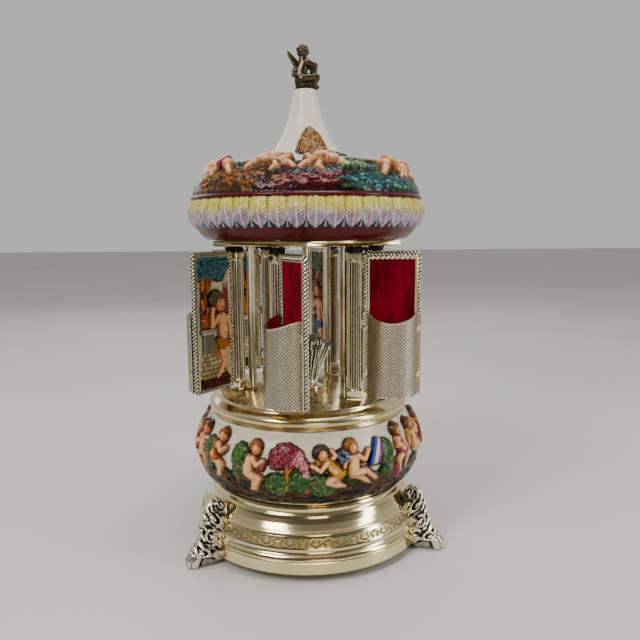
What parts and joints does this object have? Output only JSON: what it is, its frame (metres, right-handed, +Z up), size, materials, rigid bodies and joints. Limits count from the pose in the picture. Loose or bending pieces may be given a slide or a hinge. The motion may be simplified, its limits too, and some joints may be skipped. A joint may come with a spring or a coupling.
{
  "type": "carousel music box",
  "caption": "Carousel music box on scroll feet: turning the domed roof swings hinged panel doors that carry half-round holders; a musical movement sits in the bowl.",
  "frame": {"origin": "on the main vertical axis, in the plane that the three feet stand on", "axes": "+Z up along the main axis, -Y towards the front, where a door edge and the viewer are"},
  "size_m": [0.1716, 0.179, 0.3297],
  "materials": {
    "spun_brass": "polished pale gold",
    "polished_brass": "polished pale gold",
    "cast_gilt": "antique gilt with dark recesses",
    "embossed_gilt": "embossed diamond pattern, satin",
    "antique_bronze": "dark patinated cast metal",
    "painted_porcelain": "hand-painted high relief under clear glaze",
    "crimson_velvet": "deep pile",
    "movement_steel": "brushed",
    "movement_brass": "machined"
  },
  "bodies": {
    "stand": {"base_moulding": "spun_brass", "foot_1": "cast_gilt", "foot_2": "cast_gilt", "foot_3": "cast_gilt", "bottom_cover": "spun_brass", "bowl": "painted_porcelain", "deck": "spun_brass", "tie_rod_1": "polished_brass", "tie_rod_2": "polished_brass", "tie_rod_3": "polished_brass", "tie_rod_4": "polished_brass", "tie_rod_5": "polished_brass", "tie_rod_6": "polished_brass", "top_plate": "polished_brass", "centre_bouquet": "cast_gilt", "movement_bedplate": "movement_steel", "comb": "movement_steel"},
    "roof": {"spindle": "polished_brass", "sun_gear": "movement_brass", "roof_shell": "painted_porcelain", "finial": "antique_bronze"},
    "door_1": {"door_1_column": "polished_brass", "door_1_frame": "polished_brass", "door_1_panel": "painted_porcelain", "door_1_lining": "crimson_velvet", "door_1_pocket": "embossed_gilt", "door_1_pinion": "movement_brass"},
    "door_2": {"door_2_column": "polished_brass", "door_2_frame": "polished_brass", "door_2_panel": "painted_porcelain", "door_2_lining": "crimson_velvet", "door_2_pocket": "embossed_gilt", "door_2_pinion": "movement_brass"},
    "door_3": {"door_3_column": "polished_brass", "door_3_frame": "polished_brass", "door_3_panel": "painted_porcelain", "door_3_lining": "crimson_velvet", "door_3_pocket": "embossed_gilt", "door_3_pinion": "movement_brass"},
    "door_4": {"door_4_column": "polished_brass", "door_4_frame": "polished_brass", "door_4_panel": "painted_porcelain", "door_4_lining": "crimson_velvet", "door_4_pocket": "embossed_gilt", "door_4_pinion": "movement_brass"},
    "door_5": {"door_5_column": "polished_brass", "door_5_frame": "polished_brass", "door_5_panel": "painted_porcelain", "door_5_lining": "crimson_velvet", "door_5_pocket": "embossed_gilt", "door_5_pinion": "movement_brass"},
    "door_6": {"door_6_column": "polished_brass", "door_6_frame": "polished_brass", "door_6_panel": "painted_porcelain", "door_6_lining": "crimson_velvet", "door_6_pocket": "embossed_gilt", "door_6_pinion": "movement_brass"},
    "barrel": {"spring_barrel": "movement_steel"},
    "cylinder": {"pin_cylinder": "movement_brass"},
    "key": {"winding_key": "movement_brass"}
  },
  "joints": [
    {"name": "roof_turn", "type": "hinge", "parent": "stand", "child": "roof", "pos_m": [0, 0, 0.25], "axis": [0, 0, 1], "range_deg": [0, 55.8]},
    {"name": "door_1_swing", "type": "hinge", "parent": "stand", "child": "door_1", "pos_m": [-0.01821, -0.04441, 0.15], "axis": [0, 0, 1], "range_deg": [-167.4, 0]},
    {"name": "door_2_swing", "type": "hinge", "parent": "stand", "child": "door_2", "pos_m": [0.02935, -0.03798, 0.15], "axis": [0, 0, 1], "range_deg": [-167.4, 0]},
    {"name": "door_3_swing", "type": "hinge", "parent": "stand", "child": "door_3", "pos_m": [0.04757, 0.00643, 0.15], "axis": [0, 0, 1], "range_deg": [-167.4, 0]},
    {"name": "door_4_swing", "type": "hinge", "parent": "stand", "child": "door_4", "pos_m": [0.01821, 0.04441, 0.15], "axis": [0, 0, 1], "range_deg": [-167.4, 0]},
    {"name": "door_5_swing", "type": "hinge", "parent": "stand", "child": "door_5", "pos_m": [-0.02935, 0.03798, 0.15], "axis": [0, 0, 1], "range_deg": [-167.4, 0]},
    {"name": "door_6_swing", "type": "hinge", "parent": "stand", "child": "door_6", "pos_m": [-0.04757, -0.00643, 0.15], "axis": [0, 0, 1], "range_deg": [-167.4, 0]},
    {"name": "barrel_spin", "type": "hinge", "parent": "stand", "child": "barrel", "pos_m": [0, 0, 0.055], "axis": [0, 0, 1], "continuous": true},
    {"name": "cylinder_spin", "type": "hinge", "parent": "stand", "child": "cylinder", "pos_m": [0.036, 0, 0.072], "axis": [1, 0, 0], "continuous": true},
    {"name": "key_turn", "type": "hinge", "parent": "stand", "child": "key", "pos_m": [0, 0, 0.005], "axis": [0, 0, 1], "continuous": true}
  ],
  "couplings": [
    {"joint": "door_1_swing", "follows": "roof_turn", "ratio": -3},
    {"joint": "door_2_swing", "follows": "roof_turn", "ratio": -3},
    {"joint": "door_3_swing", "follows": "roof_turn", "ratio": -3},
    {"joint": "door_4_swing", "follows": "roof_turn", "ratio": -3},
    {"joint": "door_5_swing", "follows": "roof_turn", "ratio": -3},
    {"joint": "door_6_swing", "follows": "roof_turn", "ratio": -3},
    {"joint": "cylinder_spin", "follows": "barrel_spin", "ratio": 2}
  ]
}
